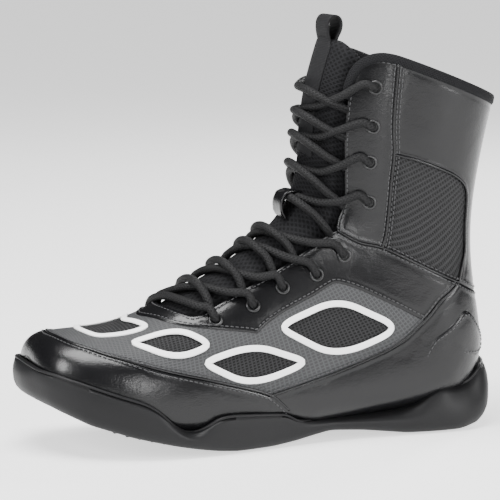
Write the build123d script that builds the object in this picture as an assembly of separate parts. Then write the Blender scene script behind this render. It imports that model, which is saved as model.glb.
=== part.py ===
"""A laced high-top boxing boot for the left foot, built from its separate pieces.

Frame: the toe points along -X, the outer (lateral) side faces -Y, +Z is up.
The origin is on the ground under the middle of the boot. Millimetres.
"""
from build123d import *
import math
import os
import numpy as np

# ---------------------------------------------------------------- driving dimensions
SKIN = 1.6            # outer leather and textile panels
MIDDLE = 1.8          # stiffeners and foam between the skin and the lining
LINING = 1.0          # soft lining inside
TONGUE_GAP = 0.5      # free space between the lining and the tongue
TONGUE_BASE = 4.4     # padded tongue under the eyestays
FACE_BACK = 2.0       # how far the tongue's face stays under the eyestays' surface
THROAT = 26.0         # half width of the laced opening on the shaft
THROAT_TOE = 16.0     # half width of the opening at its toe end
BINDING = 5.5         # height of the knitted band round the collar
LACE = 5.0            # lace diameter
EYELET = (8.6, 5.8, 1.6)   # eyelet outer and inner diameter and thickness
HINGE_LOOP = (48.5, 231.5)   # where the pull loop leaves the tongue, seen from the side
WIDE = 90.0           # beyond the boot on either side
SIDES = {"lateral": -1, "medial": 1}
FLOOR = (Align.CENTER, Align.CENTER, Align.MIN)

# The boot is a bent tube. Each row is one cross-section, seen from the side as a
# straight line from its top or front end (x, z) to its bottom or back end (x, z).
# Then come the sideways centre, the half width, where along the line the section is
# widest, and how square its top and bottom halves are (2 is an ellipse).
SECTIONS = np.array([
    [-139.5, 44.0, -139.5, 44.0, 9.0, 0.0, 0.55, 2.3, 2.3],
    [-139.5, 53.0, -139.5, 35.0, 9.0, 15.0, 0.55, 2.3, 2.3],
    [-136.0, 61.5, -136.0, 31.0, 8.5, 27.0, 0.56, 2.3, 2.5],
    [-124.0, 67.5, -124.0, 27.0, 7.0, 38.0, 0.58, 2.3, 2.8],
    [-104.0, 68.5, -104.0, 19.0, 3.0, 45.0, 0.62, 2.25, 3.0],
    [-80.0, 71.0, -80.0, 10.5, -1.0, 48.5, 0.66, 2.15, 3.2],
    [-52.0, 84.0, -50.0, 6.0, -3.0, 48.0, 0.70, 2.05, 3.2],
    [-26.0, 98.5, -16.0, 6.0, -4.0, 44.5, 0.72, 2.0, 3.2],
    [-4.0, 112.0, 22.0, 9.5, -4.0, 39.5, 0.72, 2.0, 3.2],
    [13.0, 126.0, 64.0, 12.0, -2.5, 37.0, 0.70, 2.0, 3.0],
    [23.0, 140.0, 112.0, 12.5, -1.0, 37.0, 0.66, 2.0, 2.8],
    [27.0, 152.0, 143.0, 25.0, 0.0, 37.0, 0.62, 2.0, 2.5],
    [29.0, 164.0, 144.5, 55.0, 0.0, 36.5, 0.58, 2.0, 2.3],
    [30.5, 176.0, 138.0, 88.0, 0.0, 36.0, 0.55, 2.05, 2.2],
    [32.0, 189.0, 136.5, 118.0, 0.0, 36.5, 0.53, 2.1, 2.2],
    [34.5, 203.0, 139.5, 144.0, 0.0, 38.0, 0.52, 2.1, 2.2],
    [38.0, 216.0, 144.0, 168.0, 0.0, 39.5, 0.52, 2.1, 2.2],
    [44.0, 234.0, 150.0, 194.0, 0.0, 41.0, 0.52, 2.1, 2.2],
])
FIRST, LAST = 0.35, len(SECTIONS) - 1.0
LOFT_STEPS = 16
RING_POINTS = 8      # points on each half of a section

# The underside of the sole, from toe to heel, and the wavy top of its wall.
TREAD = [(-147, 34), (-134, 25.5), (-111, 16), (-88, 8), (-68, 2.5), (-50, 0.8), (-5, 0.8), (14, 2),
         (37, 7), (58, 5), (85, 1.5), (104, 0.8), (122, 0.8), (135, 3), (142, 9), (147, 18)]
# Flat pads that stand on the ground: x from, x to, half width, corner radius.
PADS = [(-54, -10, 34, 14), (98, 126, 22, 10)]
PAD_TOP = 3.0         # inside the sole
WALL_TOP = [(-150, 56), (-138, 55), (-115, 45), (-99, 39), (-81, 33), (-73, 28), (-65, 20), (-57, 14),
            (-50, 14), (-44, 17), (-38, 22), (-30, 23), (-14, 22), (6, 20), (13, 13), (22, 10), (40, 12),
            (62, 13), (80, 13.5), (92, 17), (100, 24), (108, 28), (120, 27), (132, 28), (142, 36), (150, 39)]
# The sole seen from above: x, sideways centre, half width.
SOLE_PLAN = [(-147.6, 9, 4), (-142, 9, 21), (-132, 8, 35), (-116, 5, 44), (-96, 1.5, 49.5), (-72, -2, 52),
             (-48, -3, 51.5), (-20, -4, 46), (10, -4, 39), (40, -3, 36), (72, -1.5, 37.5), (100, 0, 39),
             (122, 0, 37), (136, 0, 28), (143, 0, 16), (147, 0, 4)]
BOARD_TOP = [(-160, 44), (-139, 40), (-124, 32), (-104, 24), (-80, 16), (-52, 11.5), (-16, 11.5),
             (22, 15), (64, 17.5), (112, 18), (128, 20), (139, 26), (160, 40)]
SOCKLINER_TOP = [(-160, 50), (-137, 45), (-124, 38), (-104, 29.5), (-80, 21), (-52, 16), (-16, 16),
                 (22, 19.5), (64, 22), (112, 22.5), (126, 24), (138, 31), (160, 45)]

# Seams, seen from the side.
FOXING_TOP = [(-150, 69), (-126, 68), (-118, 65), (-104, 60), (-88, 55), (-71, 50), (-45, 43), (-18, 36),
              (-6, 32), (1, 26), (7, 20)]
HEEL_FRONT = [(-6, 32), (34, 40), (64, 49), (80, 56), (93, 67), (106, 78), (118, 90)]
EYESTAY_LOW = [(-74, 80), (-64, 75), (-54, 73), (-40, 71), (-15, 67), (-10, 69), (-6, 73), (5, 79),
               (26, 87), (36, 93), (44, 93), (56, 87), (76, 78), (93, 67)]
ANKLE_SEAM = [(30, 122), (48, 118), (70, 111), (85, 104), (112, 91), (118, 90), (133, 82), (155, 74)]
SHAFT_SEAM = [(78, 232), (76, 200), (75, 166), (73, 145), (71, 126), (69, 112)]
WINDOW_TOP = [(75, 167), (89, 162), (105, 157), (116, 152), (124, 145), (127.5, 139)]
WINDOW_BACK = [(127.5, 139), (127, 106), (118, 90)]
HEEL_PATCH = [(122, 71), (138, 57), (139, 48), (122, 45), (104, 42), (97, 44), (96, 49), (106, 59)]
COLLAR_TOP = [(48, 205), (52, 216), (59, 221), (69, 223), (78, 221.5), (92, 216), (113, 208), (133, 199),
              (146, 193), (156, 188)]
TONGUE_TOP = [(39.5, 224), (48.5, 229), (53.5, 228), (78, 206)]
TONGUE_BACK = [(72, 232), (63, 206), (62, 182), (61, 160), (56, 138), (46, 114), (28, 100), (7, 93),
               (-12, 86), (-34, 79), (-61, 70)]
# The pull loop's two outlines, from where it leaves the tongue.
LOOP_OUTSIDE = [(-1.4, 0.4), (-4.2, 8), (-4.6, 13), (-3, 16.4), (0, 17.4), (3, 16.4), (4.6, 13), (4.2, 8),
                (1.4, 0.4)]
LOOP_INSIDE = [(-0.5, 3.5), (-2.8, 8.3), (-3.1, 12.6), (-1.9, 15), (0, 15.8), (1.9, 15), (3.1, 12.6), (2.8, 8.3),
               (0.5, 3.5)]
LOOP_WIDTH = 18.0
# Vent windows in the vamp: corners seen from the side, rounded off by the radius.
VENTS = {"front": ([(-86, 65), (-64, 71.5), (-40, 63), (-58, 56)], 5.0),
         "middle": ([(-46, 54), (-24, 64.5), (-8, 64), (22, 49), (-10, 39.5)], 6.0),
         "rear": ([(-2, 69), (38, 81.5), (76, 68), (42, 51)], 7.0)}
VENT_RIM = 2.6        # width of the raised rim
TOE_VENT = [(-108, 12), (-70, 22), (-76, 0), (-70, -22), (-108, -12), (-110, 0)]

# Eyelets from toe to collar: station along the tube and how far round from the front.
EYELETS = [(6.63, 0.26), (7.48, 0.27), (8.26, 0.26), (9.15, 0.28), (10.1, 0.28), (12.3, 0.31),
           (13.6, 0.32), (14.75, 0.32), (16.0, 0.30)]
LACE_ENDS_LATERAL = [5.9, 6.9, 7.6, 8.4, 9.4, 11.2, 12.6, 13.7, 14.9]
LACE_ENDS_MEDIAL = [6.2, 7.1, 7.9, 8.7, 9.6, 11.4, 12.7, 13.8, 15.0]
LACE_EDGE = 0.19      # how far round from the front a run slips under the other eyestay


# ---------------------------------------------------------------- the boot's surface
def section_values(station):
    """The row of SECTIONS at any place along the tube, on a smooth cubic curve."""
    rows = np.vstack([2 * SECTIONS[0] - SECTIONS[1], SECTIONS, 2 * SECTIONS[-1] - SECTIONS[-2]])
    i = min(int(station), len(SECTIONS) - 2)
    t = station - i
    weights = ((1 - t) ** 3, 3 * t ** 3 - 6 * t ** 2 + 4, -3 * t ** 3 + 3 * t ** 2 + 3 * t + 1, t ** 3)
    return sum(w * row for w, row in zip(weights, rows[i:i + 4])) / 6


def half_section(station, offset):
    """Points down one half of a section: distance from its top end, and half width."""
    tx, tz, bx, bz, centre, width, widest, top, bottom = section_values(station)
    length = math.hypot(bx - tx, bz - tz) + 2 * offset
    angles = np.linspace(0, math.pi, 97)
    cosine, sine = np.abs(np.cos(angles)), np.abs(np.sin(angles))
    upper = angles <= math.pi / 2
    down = np.where(upper, widest * (1 - cosine ** (2 / top)), widest + (1 - widest) * cosine ** (2 / bottom))
    out = np.where(upper, sine ** (2 / top), sine ** (2 / bottom)) * (width + offset)
    return down * length, out


def surface_point(station, around, offset=0.0):
    """A point on the boot: around is 0 at the front, 1 at the back, negative on the outer side."""
    tx, tz, bx, bz, centre = section_values(station)[:5]
    down, out = half_section(station, offset)
    run = np.concatenate([[0], np.cumsum(np.hypot(np.diff(down), np.diff(out)))])
    at = abs(around) * run[-1]
    distance = float(np.interp(at, run, down)) - offset
    side = float(np.interp(at, run, out)) * math.copysign(1, around)
    span = math.hypot(bx - tx, bz - tz)
    return Vector(tx + (bx - tx) * distance / span, centre + side, tz + (bz - tz) * distance / span)


def surface_normal(station, around):
    """The outward direction of the surface."""
    step = 0.02
    along = surface_point(station + step, around) - surface_point(station - step, around)
    across = surface_point(station, around + step) - surface_point(station, around - step)
    return along.cross(across).normalized()


def tube(offset):
    """The solid inside the surface, moved in or out by the offset."""
    first = FIRST + 0.15 * max(-offset, 0)
    rings = []
    for station in np.linspace(first, LAST, LOFT_STEPS):
        around = [i / RING_POINTS for i in range(-RING_POINTS, RING_POINTS)]
        ring = Edge.make_spline([surface_point(station, a, offset) for a in around], periodic=True)
        rings.append(Wire([ring]))
    return Solid.make_loft(rings)


# ---------------------------------------------------------------- cutting tools
def slab(points, near=-WIDE, far=WIDE, corner=0.0):
    """A side-view outline (x, z) as a solid that runs from near to far along Y."""
    face = make_face(Polyline(*points, close=True))
    if corner:
        face = fillet(face.vertices(), corner)
    return Pos(0, far, 0) * extrude(Plane.XZ * face, amount=far - near)


def column(points, bottom, top):
    """A plan-view outline (x, y) as a solid that runs from bottom to top along Z."""
    return Pos(0, 0, bottom) * extrude(make_face(Polyline(*points, close=True)), amount=top - bottom)


def smooth(points):
    """A seam's points, with more between them on a smooth curve."""
    curve = Spline(*points)
    count = 2 * len(points)
    return [((curve @ (i / count)).X, (curve @ (i / count)).Y) for i in range(count + 1)]


def sideways(points, distance):
    """A line moved square to itself, to the right of its direction."""
    moved = []
    for i, (x, z) in enumerate(points):
        before, after = points[max(i - 1, 0)], points[min(i + 1, len(points) - 1)]
        dx, dz = after[0] - before[0], after[1] - before[1]
        size = math.hypot(dx, dz)
        moved.append((x + dz / size * distance, z - dx / size * distance))
    return moved


def half(side):
    """Everything on one side of the boot's middle plane."""
    return Pos(0, side * WIDE / 2, 130) * Box(400, WIDE, 400)


def throat(margin):
    """The laced opening from the vamp to the collar, narrower by the margin."""
    wide, toe = THROAT - margin, THROAT_TOE - margin
    start = -64 + margin
    edge = [(start, 0.6 * toe), (-56, toe), (-30, 0.86 * wide), (10, wide), (140, wide)]
    plan = edge + [(x, -y) for x, y in reversed(edge)]
    back = [(72, 270), (72, 200), (66, 140), (40, 96), (0, 80), (-64, 62), (-90, 62), (-90, 270)]
    return column(plan, 40, 280) & slab(back)


def under(line):
    """Everything below a line that runs from toe to heel, and level beyond its ends."""
    return slab([(-200, line[0][1])] + line + [(200, line[-1][1]), (200, -40), (-200, -40)])


# ---------------------------------------------------------------- pieces
def save(shape, name):
    """Write one piece, keeping only its real solids."""
    solids = [s for s in shape.solids() if s.volume > 2.0]
    piece = solids[0] if len(solids) == 1 else Compound(children=solids)
    piece.label = name
    export_step(piece, f"parts/{name}.step")


def save_both_sides(shape, name):
    for side, sign in SIDES.items():
        save(shape & half(sign), f"{name}_{side}")


def make_upper(skin):
    """The outer skin, cut along its seams into its panels."""
    foxing_line, heel_line = smooth(FOXING_TOP), smooth(HEEL_FRONT)
    eyestay_line, ankle_line = smooth(EYESTAY_LOW), smooth(ANKLE_SEAM)
    meeting, corner_x = EYESTAY_LOW[-1][0], HEEL_FRONT[-1][0]
    foxing = slab(foxing_line + [(14, 12), (14, -20), (-170, -20), (-170, 69)])
    heel_top = heel_line + [p for p in ankle_line if p[0] > corner_x + 0.5]
    heel = slab(heel_top + [(190, -20), (14, -20), (14, 12)])
    quarter_top = [p for p in reversed(ankle_line) if p[0] < corner_x - 0.5]
    quarter_back = [p for p in heel_line if p[0] > meeting + 0.5]
    quarter = slab(eyestay_line + quarter_back + quarter_top + [(-20, 150), (-90, 110)])
    shaft = slab(ankle_line + [(190, 90), (190, 280), (-20, 280), (-20, 150)])
    front = slab(smooth(SHAFT_SEAM) + [(0, 90), (-20, 280), (78, 280)])
    window = slab(WINDOW_TOP + WINDOW_BACK[1:] + [(100, 80), (60, 100), (69, 112), (73, 145)])
    patch = slab(HEEL_PATCH, corner=2.0)

    save(skin & foxing, "toe_foxing")
    for side, sign in SIDES.items():
        skin_side = skin & half(sign)
        save((skin_side & heel) - foxing - patch, f"heel_panel_{side}")
        save(skin_side & patch, f"heel_patch_{side}")
        save((skin_side & quarter) - heel - foxing, f"quarter_{side}")
        shaft_skin = skin_side & shaft
        save(shaft_skin & front, f"shaft_eyestay_{side}")
        rear = shaft_skin - front
        save(rear & window, f"shaft_mesh_{side}")
        save(rear - window, f"shaft_panel_{side}")
    low = slab([(-150, 20), (-150, 100), (100, 100), (100, 20)])
    make_vamp((skin & low) - foxing - heel - quarter - shaft)


def make_vamp(vamp):
    """The textile vamp with its vent windows, each a mesh inside a raised rim."""
    centre = (sum(x for x, y in TOE_VENT) / len(TOE_VENT), 0)
    outer = column(TOE_VENT, 55, 90)
    inner = column([(centre[0] + (x - centre[0]) * 0.85, y * 0.8) for x, y in TOE_VENT], 55, 90)
    save(vamp & (outer - inner), "vent_rim_toe")
    save(vamp & inner, "vent_mesh_toe")
    vamp -= outer
    for vent, (corners, corner) in VENTS.items():
        outer = slab(corners, corner=corner)
        flat = fillet(offset(make_face(Polyline(*corners, close=True)), -VENT_RIM).vertices(), corner / 2)
        inner = Pos(0, WIDE, 0) * extrude(Plane.XZ * flat, amount=2 * WIDE)
        save_both_sides(vamp & (outer - inner), f"vent_rim_{vent}")
        save_both_sides(vamp & inner, f"vent_mesh_{vent}")
        vamp -= outer
    save(vamp, "vamp")


def make_inside(middle, lining, hollow):
    """Stiffeners, foam, board and lining between the skin and the foot."""
    board = under(smooth(BOARD_TOP))
    toe_puff = slab([(-170, 90), (-170, 0), (-106, 0), (-98, 90)])
    counter = slab([(84, 0), (84, 40), (104, 62), (118, 84), (133, 76), (170, 70), (170, 0)])
    foam = slab(smooth(ANKLE_SEAM) + [(190, 90), (190, 280), (-20, 280), (-20, 150)])
    save(middle & board, "insole_board")
    above = middle - board
    save(above & toe_puff, "toe_puff")
    save(above & counter, "heel_counter")
    save(above & foam, "shaft_foam")
    save(above - toe_puff - counter - foam, "backing")
    save(lining, "lining")
    save(hollow & under(smooth(SOCKLINER_TOP)), "sockliner")


def make_sole(upper):
    """The rubber cup sole, the foam wedge under the heel and the shank in the waist."""
    rings = []
    for x, centre, width in SOLE_PLAN:
        low = float(np.interp(x, [p[0] for p in TREAD], [p[1] for p in TREAD]))
        foot = width - min(5, width / 2)
        ring = [(-width, low + 6), (-width, 70), (width, 70), (width, low + 6), (foot, low), (-foot, low)]
        rings.append(Wire(Polyline(*[(x, centre + y, z) for y, z in ring], close=True).edges()))
    block = Solid.make_loft(rings, True)
    for start, end, wide, corner in PADS:
        pad = fillet((Pos((start + end) / 2, -2) * Rectangle(end - start, 2 * wide)).vertices(), corner)
        block += extrude(pad, amount=PAD_TOP)
    sole = (block & under(smooth(WALL_TOP))) - upper
    wedge = slab([(50, 9), (126, 5), (130, 24), (50, 24)], -24, 24) - upper
    shank = slab([(-8, 3.5), (36, 9.5), (70, 8.5), (70, 7), (36, 8), (-8, 2)], -9, 9)
    wedge = wedge & block
    wedge = max(wedge.solids(), key=lambda s: s.volume)
    save(sole - wedge - shank, "outsole")
    save(wedge - shank, "heel_wedge")
    save(shank - upper, "shank")


def make_collar(wall, low_line):
    """The knitted band that closes the top edge of all the layers."""
    band = slab(smooth(COLLAR_TOP) + low_line[::-1])
    save(wall & band, "collar_binding")


def make_tongue():
    """The padded tongue under the laces, its face, and what is sewn to it."""
    depth = SKIN + MIDDLE + LINING + TONGUE_GAP
    outer, inner = tube(-depth), tube(-depth - TONGUE_BASE)
    front = slab(TONGUE_BACK + [(-61, 120), (0, 280), (60, 280)])
    short = under(TONGUE_TOP)
    tongue = (outer - inner) & front & short
    save(tongue, "tongue")
    raised = tube(-FACE_BACK) - outer
    save(raised & throat(1.5) & front & short, "tongue_face")
    strap = tube(-FACE_BACK + 1.0) - tube(-FACE_BACK)
    strip = Pos(20, 0, 195) * Box(100, 18, 66)
    save(strap & strip & short & throat(4), "tongue_webbing")
    keeper = Pos(20, 0, 128) * Rot(0, -55, 0) * Box(60, 20, 14)
    save(strap & keeper & throat(4), "lace_keeper")


def make_pull_loop():
    """A folded webbing loop standing on the top of the tongue."""
    x, z = HINGE_LOOP
    outside = slab([(x + a, z + b) for a, b in LOOP_OUTSIDE], -LOOP_WIDTH / 2, LOOP_WIDTH / 2)
    save(outside - slab([(x + a, z + b) for a, b in LOOP_INSIDE]), "pull_loop")


def eyelet_place(number, sign):
    station, around = EYELETS[number]
    return surface_point(station, sign * around), surface_normal(station, sign * around)


def make_eyelets():
    """Each eyelet is a ring set through the eyestay. Returns the holes they sit in."""
    outer, inner, thick = EYELET
    holes = []
    for side, sign in SIDES.items():
        rings = []
        for number in range(len(EYELETS)):
            middle, normal = eyelet_place(number, sign)
            seat = Plane(middle - normal * (thick - 0.4), z_dir=normal)
            disc = Cylinder(outer / 2, thick, align=FLOOR)
            rings.append(seat * (disc - Cylinder(inner / 2, thick, align=FLOOR)))
            holes.append(seat.offset(-MIDDLE - LINING - 1) * Cylinder(outer / 2, 8, align=FLOOR))
        save(Compound(children=rings), f"eyelets_{side}")
    return holes


def lace_run(number, sign, end_station, height):
    """One run, from an eyelet over the tongue to where it slips under the other eyestay."""
    middle, normal = eyelet_place(number, sign)
    start = middle + normal * (LACE / 2 + 0.8)
    end = surface_point(end_station, -sign * LACE_EDGE, LACE / 2 + 0.8)
    top = surface_point((EYELETS[number][0] + end_station) / 2, -sign * 0.005, LACE / 2 + height)
    path = ThreePointArc(start, top, end)
    return sweep(Plane(path @ 0, z_dir=path % 0) * Circle(LACE / 2), path=path)


def make_lace():
    """Every visible run of the lace as one piece; the inner side's runs cross over the outer side's."""
    runs = []
    for number, end_station in enumerate(LACE_ENDS_LATERAL):
        runs.append(lace_run(number, -1, end_station, 0.8))
    for number, end_station in enumerate(LACE_ENDS_MEDIAL):
        runs.append(lace_run(number, 1, end_station, LACE + 1.4))
    save(runs[0] + runs[1:], "lace")


def main():
    os.makedirs("parts", exist_ok=True)
    depths = (0, SKIN, SKIN + MIDDLE, SKIN + MIDDLE + LINING)
    outside, under_skin, under_middle, hollow = [tube(-depth) for depth in depths]
    opening = throat(0)
    holes = make_eyelets()
    binding_line = sideways(smooth(COLLAR_TOP), BINDING)
    below = under(binding_line)
    skin = (outside - under_skin) & below
    middle = (under_skin - under_middle) & below
    lining = (under_middle - hollow) & below
    skin, middle, lining = [layer - opening - holes for layer in (skin, middle, lining)]
    make_upper(skin)
    make_inside(middle, lining, tube(-SKIN - MIDDLE - LINING - 0.5))
    make_collar(outside - hollow - opening, binding_line)
    make_sole(outside)
    make_tongue()
    make_pull_loop()
    make_lace()


if __name__ == "__main__":
    main()
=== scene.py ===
"""The boxing boot's looks: leather, textile, rubber, laces and light, round the CAD frame."""
import math

import bpy
import numpy as np
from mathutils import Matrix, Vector
from mathutils.bvhtree import BVHTree
from mathutils.geometry import delaunay_2d_cdt


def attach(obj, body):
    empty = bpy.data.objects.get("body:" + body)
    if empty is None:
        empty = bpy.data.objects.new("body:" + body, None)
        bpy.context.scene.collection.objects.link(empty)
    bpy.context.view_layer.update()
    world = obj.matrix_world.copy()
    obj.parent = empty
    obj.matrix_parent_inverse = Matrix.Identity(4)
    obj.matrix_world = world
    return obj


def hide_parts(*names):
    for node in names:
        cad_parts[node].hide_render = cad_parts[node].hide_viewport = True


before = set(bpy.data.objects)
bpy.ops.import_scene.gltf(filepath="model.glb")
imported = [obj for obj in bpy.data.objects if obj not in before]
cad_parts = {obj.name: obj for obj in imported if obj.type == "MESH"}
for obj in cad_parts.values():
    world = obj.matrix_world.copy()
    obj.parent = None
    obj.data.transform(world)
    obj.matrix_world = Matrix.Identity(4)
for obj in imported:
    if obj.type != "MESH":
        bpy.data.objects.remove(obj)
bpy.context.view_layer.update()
MM = 0.001

# Driving sizes, in millimetres. A lift is a height above the boot's outer surface.
SKIN = 1.5              # leather panels
LINING_LIFT = -3.3      # outer side of the lining
LINING = 1.2            # its thickness
TONGUE_BACK = -9.2      # lift of the tongue's inner side
TONGUE_EDGE = 4.0       # how far its edge is rounded over
LACE_RADIUS = 2.6
EYELET_RADIUS = 3.4
RIM = 3.7               # width of the white rims
SOLE_LIP = 2.6          # how far the sole's top edge stands off the upper
WAIST_LIP = 2.6         # how much more it does so at the waist

# ------------------------------------------------------------------ the boot's surface
# The boot is a bent tube, as in the CAD model. Each row is one cross-section, in
# millimetres: its top or front end (x, z), its bottom or back end (x, z), the sideways
# centre, the half width, the widest place, and how square the two halves are.
SECTIONS = np.array([
    [-133.5, 44.0, -133.5, 44.0, 9.0, 0.0, 0.55, 2.3, 2.3],
    [-133.5, 53.0, -133.5, 35.0, 9.0, 15.0, 0.55, 2.3, 2.3],
    [-131.5, 61.5, -131.5, 31.0, 8.5, 27.0, 0.56, 2.3, 2.5],
    [-122.5, 67.5, -122.5, 27.0, 7.0, 38.0, 0.58, 2.3, 2.8],
    [-104.0, 68.5, -104.0, 19.0, 3.0, 45.0, 0.62, 2.25, 3.0],
    [-80.0, 71.0, -80.0, 10.5, -1.0, 48.5, 0.66, 2.15, 3.2],
    [-52.0, 84.0, -50.0, 6.0, -3.0, 48.0, 0.70, 2.05, 3.2],
    [-26.0, 98.5, -16.0, 6.0, -4.0, 44.5, 0.72, 2.0, 3.2],
    [-4.0, 112.0, 22.0, 9.5, -4.0, 39.5, 0.72, 2.0, 3.2],
    [13.0, 126.0, 64.0, 12.0, -2.5, 37.0, 0.70, 2.0, 3.0],
    [23.0, 140.0, 112.0, 12.5, -1.0, 37.0, 0.66, 2.0, 2.8],
    [27.0, 152.0, 143.0, 25.0, 0.0, 37.0, 0.62, 2.0, 2.5],
    [29.0, 164.0, 144.5, 55.0, 0.0, 36.5, 0.58, 2.0, 2.3],
    [30.5, 176.0, 138.0, 88.0, 0.0, 36.0, 0.55, 2.05, 2.2],
    [32.0, 189.0, 136.5, 118.0, 0.0, 36.5, 0.53, 2.1, 2.2],
    [34.5, 203.0, 139.5, 144.0, 0.0, 38.0, 0.52, 2.1, 2.2],
    [38.0, 216.0, 144.0, 168.0, 0.0, 39.5, 0.52, 2.1, 2.2],
    [44.0, 234.0, 150.0, 194.0, 0.0, 41.0, 0.52, 2.1, 2.2],
])
LAST = len(SECTIONS) - 1.0
ARC_STEPS = 90          # steps round half a section
SCALE = np.array([17.0, 125.0])     # millimetres for one station, and for half a section


def section_rows(u):
    """SECTIONS at any stations, on a smooth cubic curve."""
    rows = np.vstack([2 * SECTIONS[0] - SECTIONS[1], SECTIONS, 2 * SECTIONS[-1] - SECTIONS[-2]])
    i = np.clip(np.floor(u).astype(int), 0, len(SECTIONS) - 2)
    t = (u - i)[:, None]
    total = (1 - t) ** 3 * rows[i]
    total += (3 * t ** 3 - 6 * t ** 2 + 4) * rows[i + 1]
    total += (-3 * t ** 3 + 3 * t ** 2 + 3 * t + 1) * rows[i + 2]
    return (total + t ** 3 * rows[i + 3]) / 6


def boot(u, v, lift=0.0):
    """Points on the boot (N, 3), in millimetres.

    u runs from the toe (0) to the collar (LAST). v is 0 along the front, -1 and 1 along
    the sole and the back; the outer side is negative. lift grows the cross-section.
    """
    u, v, lift = [np.ravel(a).astype(float) for a in np.broadcast_arrays(u, v, lift)]
    v = (v + 1) % 2 - 1
    row = section_rows(u)
    front, back = row[:, 0:2], row[:, 2:4]
    centre, width, m, top, bottom = [row[:, k, None] for k in range(4, 9)]
    span = np.linalg.norm(back - front, axis=1)
    along = (back - front) / span[:, None]
    angle = np.linspace(0, math.pi, ARC_STEPS + 1)
    c, s = np.abs(np.cos(angle))[None], np.abs(np.sin(angle))[None]
    upper = (angle <= math.pi / 2)[None]
    power = np.where(upper, 2 / top, 2 / bottom)
    down = np.where(upper, m * (1 - c ** power), m + (1 - m) * c ** power) * (span + 2 * lift)[:, None]
    out = s ** power * (width + lift[:, None])
    run = np.concatenate([np.zeros((len(u), 1)), np.cumsum(np.hypot(np.diff(down), np.diff(out)), 1)], 1)
    goal = np.abs(v) * run[:, -1]
    i = np.clip((run < goal[:, None]).sum(1) - 1, 0, ARC_STEPS - 1)
    n = np.arange(len(u))
    f = (goal - run[n, i]) / np.maximum(run[n, i + 1] - run[n, i], 1e-9)
    down_at = down[n, i] + (down[n, i + 1] - down[n, i]) * f - lift
    out_at = (out[n, i] + (out[n, i + 1] - out[n, i]) * f) * np.where(v < 0, -1, 1)
    place = front + along * down_at[:, None]
    return np.column_stack([place[:, 0], centre[:, 0] + out_at, place[:, 1]])


def boot_normal(u, v):
    """Outward unit directions of the surface (N, 3)."""
    u, v = [np.ravel(a).astype(float) for a in np.broadcast_arrays(u, v)]
    step = 0.012
    up = boot(np.minimum(u + step, LAST), v) - boot(np.maximum(u - step, 0.05), v)
    around = boot(u, v + step) - boot(u, v - step)
    n = np.cross(up, around)
    return n / np.maximum(np.linalg.norm(n, axis=1), 1e-9)[:, None]


def on_boot(u, v, lift=0.0):
    """Points lifted squarely off the surface."""
    u, v, lift = np.broadcast_arrays(u, v, lift)
    return boot(u, v) + boot_normal(u, v) * np.ravel(lift)[:, None]


# ------------------------------------------------------------------ lines on the surface
def smooth_line(points, closed=False, step=1.2):
    """A Catmull-Rom curve through (u, v) points, as close points."""
    p = np.array(points, float)
    q = np.vstack([p[-1:], p, p[:2]]) if closed else np.vstack([2 * p[0] - p[1], p, 2 * p[-1] - p[-2]])
    out = []
    for a, b, c, d in zip(q, q[1:], q[2:], q[3:]):
        count = max(2, int(np.linalg.norm((c - b) * SCALE[:len(b)]) / step)) if len(b) == 2 else 12
        t = np.arange(count)[:, None] / count
        out.append(0.5 * (2 * b + (c - a) * t + (2 * a - 5 * b + 4 * c - d) * t ** 2
                          + (3 * b - a - 3 * c + d) * t ** 3))
    return np.vstack(out if closed else out + [p[-1:]])


def spaced(line, pitch, closed=False):
    """The same (u, v) line with points at equal distances on the boot."""
    line = np.vstack([line, line[:1]]) if closed else line
    run = np.concatenate([[0], np.cumsum(np.linalg.norm(np.diff(boot(*line[:, :2].T), axis=0), axis=1))])
    count = max(2, int(round(run[-1] / pitch)))
    at = np.linspace(0, run[-1], count + 1)
    at = at[:-1] if closed else at
    return np.column_stack([np.interp(at, run, line[:, k]) for k in range(line.shape[1])])


def shift(line, distance):
    """A (u, v) line moved sideways on the boot by a distance in millimetres."""
    e = 0.02
    u, v = line.T
    su = np.linalg.norm(boot(np.minimum(u + e, LAST), v) - boot(np.minimum(u, LAST - e), v), axis=1) / e
    sv = np.linalg.norm(boot(u, v + e) - boot(u, v - e), axis=1) / (2 * e)
    metric = np.column_stack([su, sv])
    t = np.gradient(line, axis=0) * metric
    t /= np.maximum(np.linalg.norm(t, axis=1), 1e-9)[:, None]
    return line + np.column_stack([-t[:, 1], t[:, 0]]) * distance / metric


def mirror(line):
    return np.asarray(line) * np.array([1, -1])


# ------------------------------------------------------------------ meshes
class Batch:
    """Collects closed shapes into one mesh. Points are in millimetres."""

    def __init__(self):
        self.points, self.faces, self.coords, self.count = [], [], [], 0

    def add(self, points, faces, coords=None):
        self.faces += [[i + self.count for i in f] for f in faces]
        self.points.append(np.asarray(points, float))
        self.coords.append(np.zeros((len(points), 2)) if coords is None else np.asarray(coords, float))
        self.count += len(points)

    def build(self, name):
        mesh = bpy.data.meshes.new(name)
        mesh.from_pydata((np.vstack(self.points) * MM).tolist(), [], self.faces)
        layer = mesh.uv_layers.new(name="surface")
        index = np.zeros(len(mesh.loops), int)
        mesh.loops.foreach_get("vertex_index", index)
        layer.data.foreach_set("uv", np.vstack(self.coords)[index].ravel())
        mesh.polygons.foreach_set("use_smooth", [True] * len(mesh.polygons))
        mesh.update()
        obj = bpy.data.objects.new(name, mesh)
        bpy.context.scene.collection.objects.link(obj)
        return obj


def grid_faces(rows, columns, wrap_rows=False, wrap_columns=False):
    """Quads of a grid of points, row after row."""
    faces = []
    for r in range(rows if wrap_rows else rows - 1):
        for c in range(columns if wrap_columns else columns - 1):
            r2, c2 = (r + 1) % rows, (c + 1) % columns
            faces.append((r * columns + c, r * columns + c2, r2 * columns + c2, r2 * columns + c))
    return faces


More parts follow.
